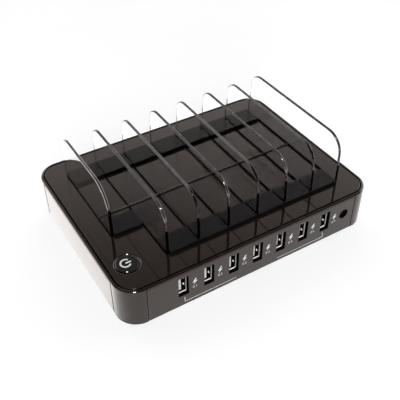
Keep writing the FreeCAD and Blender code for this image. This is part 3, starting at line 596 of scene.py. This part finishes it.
def finish_cover(cover, deck_top, button):
    """Shade in the groove, the button's hole and the seams, and more gloss where corners catch light."""
    lip = deck_top - GROOVE_ROUNDING + WELD_DISTANCE

    def in_groove(index):
        corner = cover.data.vertices[index].co
        inside = GROOVE_NEAR < outline_inset(corner) < GROOVE_FAR
        return inside and deck_top - GROOVE_DEPTH < corner.z < lip

    def by_button(face):
        return (face.center - button).xy.length < HOLE_REACH

    def is_dark(face):
        in_hole = by_button(face) and abs(face.normal.z) < STEEP_PART
        return in_hole or is_seam(face) or all(in_groove(index) for index in face.vertices)

    def is_rim(face):
        turned = min(abs(face.normal.x), abs(face.normal.y)) > CORNER_PART * face.normal.xy.length
        at_corner = turned and outline_inset(face.center) < GROOVE_FAR
        is_rounding = STEEP_PART < face.normal.z < LEVEL_PART
        return is_rounding and (by_button(face) or at_corner) and not is_dark(face)

    refinish(cover, "deep_shade", is_dark)
    refinish(cover, "rim_gloss", is_rim)


def make_panel():
    """Front insert, a hair behind the posts so that the print stays level with them."""
    low, high = box_of("front_panel")
    front = low.y + 2 * PANEL_SETBACK
    inlet = middle_of("dc_jack_pin")
    ports = [middle_of(f"usb_shell_{number}").x for number in PORT_NUMBERS]

    def by_inlet(point):
        return math.hypot(point.x - inlet.x, point.z - inlet.z) < INLET_REACH

    def is_inlet_edge(*ends):
        return all(end.y < front and by_inlet(end) for end in ends)

    def is_other_edge(*ends):
        return all(end.y < front and not by_inlet(end) for end in ends)

    def is_opening_side(face):
        in_window = min(abs(face.center.x - x) for x in ports) < WINDOW_REACH
        is_inside = low.z + WINDOW_REACH < face.center.z < high.z - SEAM_ROUNDING
        return (in_window or by_inlet(face.center)) and is_inside and abs(face.normal.y) < FLUSH_PART

    bm = welded_copy("front_panel")
    for vert in bm.verts:
        if abs(vert.co.y - low.y) < WELD_DISTANCE:
            vert.co.y += PANEL_SETBACK
    round_edges(bm, INLET_ROUNDING, is_inlet_edge)
    round_edges(bm, MOULD_ROUNDING, is_other_edge)
    panel = add_piece(to_mesh(bm, "panel"), "front_panel_dressed", "panel_gloss", "base", "front_panel")
    shade_evenly(panel)
    refinish(panel, "deep_shade", is_opening_side)


def cross_outline(width, length):
    """Corners of an upright cross round the origin, anticlockwise, from its half width and half length."""
    corners = []
    for turn in range(4):
        for x, y in ((length, -width), (length, width), (width, width)):
            for quarter in range(turn):
                x, y = -y, x
            corners.append((x, y))
    return corners


def make_screws():
    """Countersunk screws with a cross recess in each head."""
    low = box_of("case_screws")[0].z
    bm = welded_copy("case_screws")
    outline = cross_outline(RECESS_HALF_WIDTH, RECESS_HALF_LENGTH)
    heads = [face for face in bm.faces if max(vert.co.z for vert in face.verts) < low + WELD_DISTANCE]
    for head in heads:
        middle = head.calc_center_median()
        rim = list(head.edges)
        bmesh.ops.delete(bm, geom=[head], context="FACES_ONLY")
        mouth = [bm.verts.new((middle.x + x, middle.y + y, low)) for x, y in outline]
        bottom = [bm.verts.new((middle.x + RECESS_TAPER * x, middle.y + RECESS_TAPER * y,
                                low + RECESS_DEPTH)) for x, y in outline]
        edges = [bm.edges.new(pair) for pair in zip(mouth, mouth[1:] + mouth[:1])]
        bmesh.ops.triangle_fill(bm, use_beauty=True, edges=rim + edges)
        join_rings(bm, mouth, bottom)
        bm.faces.new(bottom)
    add_piece(to_mesh(bm, "screws"), "case_screws_dressed", "screw_steel", "base", "case_screws")


# Ports

def rounded_outline(half_x, half_z, radius):
    """Corner points of a rounded rectangle round the origin, anticlockwise."""
    points = []
    for quarter, (sign_x, sign_z) in enumerate(((1, 1), (-1, 1), (-1, -1), (1, -1))):
        for step in range(FOLD_SEGMENTS + 1):
            turn = (quarter + step / FOLD_SEGMENTS) * math.pi / 2
            x = sign_x * (half_x - radius) + radius * math.cos(turn)
            z = sign_z * (half_z - radius) + radius * math.sin(turn)
            points.append((x, z))
    return points


def add_tube(bm, half, place, front, back):
    """A tube along Y, whose front edge is flared and rounded and carries a painted sheen, with a painted
    highlight at its foot.
    """
    mouth = front - LIP_FORWARD
    steps = [(0.0, back), (0.0, front), (-LIP_FLARE, mouth + SHELL_METAL / 2), (-LIP_FLARE / 2, mouth),
             (SHELL_METAL / 2 - LIP_FLARE, mouth + SHELL_METAL / 4), (SHELL_METAL, front + LIP_BAND),
             (SHELL_METAL, back)]
    rings = []
    for inset, y in steps:
        outline = rounded_outline(half.x - inset, half.z - inset, SHELL_FOLD - inset)
        rings.append([bm.verts.new((place.x + x, y, place.z + z)) for x, z in outline])
    foot = place.z - half.z + SHELL_FOLD / 2
    for finish, ring, after in zip(TUBE_FINISHES, rings, rings[1:] + rings[:1]):
        for face in join_rings(bm, ring, after):
            is_foot = max(vert.co.z for vert in face.verts) < foot
            face.material_index = PAINTED_HIGHLIGHT if is_foot and finish == LIP else finish


def add_dimple(bm, place, side):
    """A small pressed dome that stands on a side wall, in a near-white finish that is a painted highlight.
    """
    around = [2 * math.pi * index / DIMPLE_SIDES for index in range(DIMPLE_SIDES)]
    rings = []
    for step in range(DIMPLE_STEPS):
        turn = math.pi / 2 * step / DIMPLE_STEPS
        reach = DIMPLE_RADIUS * math.cos(turn)
        x = place.x - side * DIMPLE_HEIGHT * math.sin(turn)
        rings.append([bm.verts.new((x, place.y + reach * math.cos(angle), place.z + reach * math.sin(angle)))
                      for angle in around])
    tip = bm.verts.new((place.x - side * DIMPLE_HEIGHT, place.y, place.z))
    faces = [bm.faces.new(list(reversed(rings[0])))]
    for ring, after in zip(rings, rings[1:]):
        faces += join_rings(bm, ring, after)
    for corner, following in zip(rings[-1], rings[-1][1:] + rings[-1][:1]):
        faces.append(bm.faces.new((corner, following, tip)))
    for face in faces:
        face.material_index = PAINTED_HIGHLIGHT


def add_finger(bm, wall_x, side, z, front):
    """A spring finger bent in from a side wall, with its crest near the mouth."""
    sections = []
    for step in range(FINGER_STEPS + 1):
        share = step / FINGER_STEPS
        along = FINGER_START + FINGER_LENGTH * share
        crest = FINGER_BEND * math.exp(-((along - FINGER_CREST) / CREST_SPREAD) ** 2)
        inside = wall_x - side * (crest + FINGER_LEAN * (1 - share) + FINGER_GAP)
        corners = []
        for depth, height in ((0, -1), (0, 1), (1, 1), (1, -1)):
            x = inside + side * depth * FINGER_METAL
            corners.append(bm.verts.new((x, front + along, z + height * FINGER_WIDTH / 2)))
        sections.append(corners)
    faces = [bm.faces.new(sections[0]), bm.faces.new(list(reversed(sections[-1])))]
    for section, after in zip(sections, sections[1:]):
        faces += join_rings(bm, section, after)
    for face in faces:
        face.material_index = INSIDE


def make_port_shells():
    """Folded metal shells with two spring fingers on each wide side, and a dimple on each finger."""
    for number in PORT_NUMBERS:
        node = f"usb_shell_{number}"
        low, high = box_of(node)
        place = (low + high) / 2
        half = (high - low) / 2
        bm = bmesh.new()
        add_tube(bm, half, place, low.y, high.y)
        for side in (-1, 1):
            wall_x = place.x + side * (half.x - SHELL_METAL)
            crest_x = wall_x - side * FINGER_BEND
            for offset in (-FINGER_OFFSET, FINGER_OFFSET):
                z = place.z + offset
                add_finger(bm, wall_x, side, z, low.y)
                add_dimple(bm, Vector((crest_x, low.y + FINGER_START + FINGER_CREST, z)), side)
        shell = add_piece(to_mesh(bm, node), f"{node}_dressed", SHELL_FINISHES[BARE], "base", node)
        for finish in SHELL_FINISHES[LIP:]:
            shell.data.materials.append(materials[finish])


# Printing

def add_prism(bm, points, to_place):
    """A thin closed plate with a flat outline, placed by a function of (u, v, lift)."""
    bottom = [bm.verts.new(to_place(u, v, 0.0)) for u, v in points]
    top = [bm.verts.new(to_place(u, v, INK_THICKNESS)) for u, v in points]
    bm.faces.new(top)
    bm.faces.new(list(reversed(bottom)))
    join_rings(bm, bottom, top)


def rectangle(left, low, right, high):
    """Corners of an upright rectangle."""
    return [(left, low), (right, low), (right, high), (left, high)]


def text_mesh(text, height):
    """Plain numbers as a flat mesh, standing on the origin and centred on it."""
    curve = bpy.data.curves.new("number", "FONT")
    curve.body = text
    curve.align_x = "CENTER"
    curve.size = height / DIGIT_SHARE
    curve.space_character = DIGIT_SPACING
    curve.extrude = INK_THICKNESS / 2
    holder = bpy.data.objects.new("number", curve)
    bpy.context.scene.collection.objects.link(holder)
    bpy.context.view_layer.update()
    shape = bpy.data.meshes.new_from_object(holder.evaluated_get(bpy.context.evaluated_depsgraph_get()))
    bpy.data.objects.remove(holder)
    return shape


def make_panel_print():
    """Bolt sign and number beside each port, and a bracket under each half of the row."""
    face = box_of("front_panel")[0].y + PANEL_SETBACK
    bm = bmesh.new()

    def on_panel(u, v, lift):
        return (u, face + INK_THICKNESS / 2 - lift, v)

    for number in PORT_NUMBERS:
        x = middle_of(f"usb_shell_{number}").x + BOLT_OFFSET
        bolt = [(x + (u - 0.5) * BOLT_WIDTH, BOLT_BASE + v * BOLT_HEIGHT) for u, v in BOLT_SHAPE]
        add_prism(bm, bolt, on_panel)
        digits = text_mesh(f"0{number}", DIGIT_HEIGHT)
        digits.transform(Matrix.Translation((x, face, NUMBER_BASE)) @ Matrix.Rotation(math.pi / 2, 4, "X"))
        bm.from_mesh(digits)
    for side in (-1, 1):
        left, right = sorted((side * BRACKET_INNER, side * BRACKET_OUTER))
        add_prism(bm, rectangle(left, BRACKET_Z - BRACKET_STROKE, right, BRACKET_Z), on_panel)
        left, right = sorted((side * (BRACKET_OUTER - BRACKET_STROKE), side * BRACKET_OUTER))
        add_prism(bm, rectangle(left, BRACKET_Z, right, BRACKET_Z + BRACKET_TICK), on_panel)
    add_piece(to_mesh(bm, "panel_print"), "panel_print", "tongue_white", "base", finish="print_ink")


def make_button_sign():
    """Open ring with a stroke in its gap, on the button's cap."""
    place = middle_of("power_button")
    base = box_of("power_button")[1].z - INK_THICKNESS / 2
    inner = SYMBOL_RADIUS - SYMBOL_STROKE / 2
    outer = SYMBOL_RADIUS + SYMBOL_STROKE / 2
    turns = [SYMBOL_OPENING + (2 * math.pi - 2 * SYMBOL_OPENING) * step / SYMBOL_STEPS
             for step in range(SYMBOL_STEPS + 1)]
    ring = [(outer * math.cos(turn), outer * math.sin(turn)) for turn in turns]
    ring += [(inner * math.cos(turn), inner * math.sin(turn)) for turn in reversed(turns)]
    bm = bmesh.new()

    def on_cap(u, v, lift):
        return (place.x + SYMBOL_SHIFT[0] + u, place.y + SYMBOL_SHIFT[1] + v, base + lift)

    add_prism(bm, ring, on_cap)
    add_prism(bm, rectangle(0.0, -SYMBOL_STROKE / 2, outer, SYMBOL_STROKE / 2), on_cap)
    add_piece(to_mesh(bm, "button_sign"), "button_sign", "tongue_white", "power_button", finish="print_ink")


# Divider rack

def make_divider(node, top_finish, corner_finish):
    """Clear plate with rounded edges, in shade at its foot and round the tie bar."""
    high = box_of(node)[1]
    deck = box_of("front_rail")[0].z
    shade = deck + FOOT_SHADE
    rear_light = deck + REAR_LIGHT
    tie_low, tie_high = box_of("tie_bar")

    def is_free_edge(*ends):
        above = all(end.z > deck + FOOT_BED for end in ends)
        return above and any(end.y < high.y - WELD_DISTANCE for end in ends)

    def is_notch(face):
        beside = tie_low.y - NOTCH_REACH < face.center.y < tie_high.y + NOTCH_REACH
        return beside and face.center.z < tie_high.z + NOTCH_REACH and abs(face.normal.x) < STEEP_PART

    divider = dressed(node, "clear_acrylic", SHEET_ROUNDING, is_free_edge, (shade, rear_light))
    # The top finish is painted light, acrylic_rear's tint on the rear edges is painted shade, and deep_shade
    # at the foot and round the notch is painted shade.
    for finish in (top_finish, "acrylic_rear", "deep_shade", corner_finish):
        divider.data.materials.append(materials[finish])
    for face in divider.data.polygons:
        if face.center.z < shade or is_notch(face):
            face.material_index = FOOT
        elif face.normal.y > REAR_PART and face.center.z > rear_light:
            face.material_index = REAR
        elif face.normal.z > SLOPE_PART and abs(face.normal.x) > SLOPE_PART:
            face.material_index = TOP if face.normal.y > FRONT_PART else CORNER


# Dressing

def dress_case():
    """Case pieces, ports, printing, button, feet and screws."""
    make_cover()
    make_panel()
    tray = dressed("base_tray", "case_gloss", SEAM_ROUNDING, is_outer_edge)
    refinish(tray, "deep_shade", is_wall_end)
    make_port_shells()
    make_panel_print()
    button = dressed("power_button", "button_gloss", BUTTON_ROUNDING)
    refinish(button, "deep_shade", lambda face: abs(face.normal.z) < STEEP_PART)
    refinish(button, "rim_gloss", lambda face: STEEP_PART < face.normal.z < LEVEL_PART)
    make_button_sign()
    dressed("rubber_feet", "foot_rubber", FOOT_ROUNDING)
    make_screws()
    for number in PORT_NUMBERS:
        dressed(f"usb_tongue_{number}", "tongue_white", MOULD_ROUNDING)


def dress_rack():
    """Rails, tie bar and dividers, whose edges carry painted light, bright on the first and dimmer by turns
    on the others.
    """
    for node in ("front_rail", "short_front_rail", "rear_rail"):
        dressed(node, "rail_satin", RAIL_ROUNDING)
    tie_bar = dressed("tie_bar", "case_gloss", TIE_ROUNDING)
    tie_bar.data.materials[0] = materials["bar_gloss"]
    # Painted highlight on the first divider's top edge and corners; painted light, lighter and dimmer by
    # turns, on the others' top edges.
    make_divider("divider_1", "bright_edge", "bright_edge")
    for number in range(2, DIVIDER_COUNT + 1):
        if number % 2:
            make_divider(f"divider_{number}", "milky_edge", "clear_acrylic")
        else:
            make_divider(f"divider_{number}", "faint_edge", "polished_edge")


# Stage

def towards_viewer(elevation):
    """Direction from the object to the viewer's side, at an elevation."""
    flat = math.cos(elevation)
    return Vector((-math.sin(CAMERA_AZIMUTH) * flat, -math.cos(CAMERA_AZIMUTH) * flat, math.sin(elevation)))


def make_camera():
    """The picture's own view."""
    back = towards_viewer(CAMERA_ELEVATION)
    right = (-back).cross(Vector((0, 0, 1))).normalized()
    up = right.cross(-back)
    turned_right = math.cos(CAMERA_ROLL) * right + math.sin(CAMERA_ROLL) * up
    turned_up = -math.sin(CAMERA_ROLL) * right + math.cos(CAMERA_ROLL) * up
    pose = Matrix((turned_right, turned_up, back)).transposed().to_4x4()
    pose.translation = CAMERA_TARGET + CAMERA_DISTANCE * back
    lens = bpy.data.cameras.new("camera")
    lens.sensor_fit = "HORIZONTAL"
    lens.sensor_width = SENSOR_MM
    lens.lens = FOCAL_PIXELS * SENSOR_MM / PICTURE_PIXELS
    lens.clip_start = NEAREST_VIEW
    camera = bpy.data.objects.new("camera", lens)
    camera.matrix_world = pose
    bpy.context.scene.collection.objects.link(camera)
    bpy.context.scene.camera = camera


def add_lamp(name, place, size, area, radiance):
    """A flat lamp that shines on the object."""
    light = bpy.data.lights.new(name, "AREA")
    light.size = size
    light.energy = radiance * math.pi * area
    lamp = bpy.data.objects.new(name, light)
    lamp.location = place
    lamp.rotation_euler = (CAMERA_TARGET - place).to_track_quat("-Z", "Y").to_euler()
    bpy.context.scene.collection.objects.link(lamp)
    return lamp


def make_key_lamp():
    """Small round lamp above the camera, which gives the bright points on rounded edges."""
    place = CAMERA_TARGET + KEY_DISTANCE * towards_viewer(KEY_ELEVATION)
    lamp = add_lamp("key_lamp", place, KEY_SIZE, math.pi * (KEY_SIZE / 2) ** 2, KEY_RADIANCE)
    lamp.data.shape = "DISK"


def make_fill_lamp():
    """Broad soft lamp at the front that evens out the shade and leaves no reflection."""
    lamp = add_lamp("fill_lamp", FILL_PLACE, FILL_SIZE, FILL_SIZE ** 2, FILL_RADIANCE)
    lamp.visible_glossy = False
    lamp.visible_transmission = False


def add_stage_object(bm, name, material):
    """Puts a mesh of the stage into the scene."""
    mesh = bpy.data.meshes.new(name)
    bm.to_mesh(mesh)
    bm.free()
    mesh.materials.append(material)
    stage_object = bpy.data.objects.new(name, mesh)
    bpy.context.scene.collection.objects.link(stage_object)
    return stage_object


def card_material(front_y):
    """A glow without a surface, which fades out to the front."""
    material, shader = new_material("side_card")
    nodes = material.node_tree.nodes
    nodes.remove(shader)
    place = add_node(material, "ShaderNodeTexCoord")
    parts = add_node(material, "ShaderNodeSeparateXYZ")
    join(material, place.outputs["Object"], parts.inputs["Vector"])
    stretch = [front_y + end for end in CARD_FADE]
    glow = add_node(material, "ShaderNodeEmission", Color=(*CARD_LIGHT, 1))
    join(material, remap(material, parts.outputs["Y"], stretch, kind="SMOOTHSTEP"), glow.inputs["Strength"])
    clear = add_node(material, "ShaderNodeBsdfTransparent")
    total = add_node(material, "ShaderNodeAddShader")
    join(material, glow.outputs["Emission"], total.inputs[0])
    join(material, clear.outputs["BSDF"], total.inputs[1])
    join(material, total.outputs["Shader"], nodes["Material Output"].inputs["Surface"])
    return material


def make_side_card():
    """Pale card on the table beside the left wall, seen only in glossy faces."""
    left_x, front_y = cad_box[0][0], cad_box[0][1]
    bm = bmesh.new()
    corners = rectangle(left_x - CARD_WIDTH, front_y - CARD_FRONT, left_x, front_y + CARD_LENGTH)
    bm.faces.new([bm.verts.new((x, y, CARD_LIFT)) for x, y in corners])
    card = add_stage_object(bm, "side_card", card_material(front_y))
    card.visible_camera = False
    card.visible_diffuse = False
    card.visible_transmission = False
    card.visible_shadow = False


def floor_material():
    """Matt white that glows a little, by a different amount for each kind of ray."""
    material, shader = new_material("floor_white")
    blend_colours(material, noise(material, FLOOR_TONE_SCALE), FLOOR_TONES, shader.inputs["Base Color"])
    shader.inputs["Roughness"].default_value = FLOOR_ROUGHNESS
    shader.inputs["Specular IOR Level"].default_value = 0.0
    shader.inputs["Emission Color"].default_value = (*WHITE, 1)
    path = add_node(material, "ShaderNodeLightPath")
    glows = [remap(material, path.outputs[ray], (0.0, 1.0), (0.0, level))
             for ray, level in FLOOR_GLOW.items()]
    total = glows[0]
    for glow in glows[1:]:
        total = combine(material, "MAXIMUM", total, glow)
    join(material, total, shader.inputs["Emission Strength"])
    return material


def make_floor():
    """Pale table that shows white round the object and keeps its soft shadow."""
    bm = bmesh.new()
    bmesh.ops.create_grid(bm, x_segments=1, y_segments=1, size=FLOOR_HALF)
    floor = add_stage_object(bm, "floor", floor_material())


def light_by_height(world, height, socket):
    """Colours the room: pale low down and dim overhead."""
    ramp = add_node(world, "ShaderNodeValToRGB")
    elements = ramp.color_ramp.elements
    while len(elements) < len(ROOM_LEVELS):
        elements.new(0.5)
    for element, (position, level) in zip(elements, ROOM_LEVELS):
        element.position = position
        element.color = (*(level * part for part in ROOM_TINT), 1)
    join(world, height, ramp.inputs["Fac"])
    join(world, ramp.outputs["Color"], socket)


def light_by_side(world, direction, socket):
    """Sets the room's strength: full on the far side and weak on the near side."""
    away = add_node(world, "ShaderNodeVectorMath")
    away.operation = "DOT_PRODUCT"
    away.inputs[1].default_value = (math.sin(CAMERA_AZIMUTH), math.cos(CAMERA_AZIMUTH), 0.0)
    join(world, direction, away.inputs[0])
    join(world, remap(world, away.outputs["Value"], ROOM_TURN, (ROOM_NEAR_SHARE, 1.0), "SMOOTHSTEP"), socket)


def looked_at(world, height):
    """One where the room is seen itself or, low down, through a clear plate, and zero for other rays."""
    path = add_node(world, "ShaderNodeLightPath")
    low_down = remap(world, height, ROOM_PLAIN)
    through = combine(world, "MULTIPLY", low_down, path.outputs["Is Transmission Ray"])
    return combine(world, "MAXIMUM", path.outputs["Is Camera Ray"], through)


def make_world():
    """Soft room light, which is plain white where it is looked at."""
    world = bpy.data.worlds.new("room")
    world.use_nodes = True
    nodes = world.node_tree.nodes
    direction = add_node(world, "ShaderNodeTexCoord").outputs["Generated"]
    parts = add_node(world, "ShaderNodeSeparateXYZ")
    join(world, direction, parts.inputs["Vector"])
    room = nodes["Background"]
    light_by_height(world, parts.outputs["Z"], room.inputs["Color"])
    light_by_side(world, direction, room.inputs["Strength"])
    plain = add_node(world, "ShaderNodeBackground", Color=(*WHITE, 1))
    choice = add_node(world, "ShaderNodeMixShader")
    join(world, looked_at(world, parts.outputs["Z"]), choice.inputs["Fac"])
    join(world, room.outputs["Background"], choice.inputs[1])
    join(world, plain.outputs["Background"], choice.inputs[2])
    join(world, choice.outputs["Shader"], nodes["World Output"].inputs["Surface"])
    bpy.context.scene.world = world


finish_bare_nodes()
dress_case()
dress_rack()
make_camera()
make_key_lamp()
make_fill_lamp()
make_side_card()
make_world()
make_floor()
bpy.context.scene.view_settings.view_transform = "Standard"
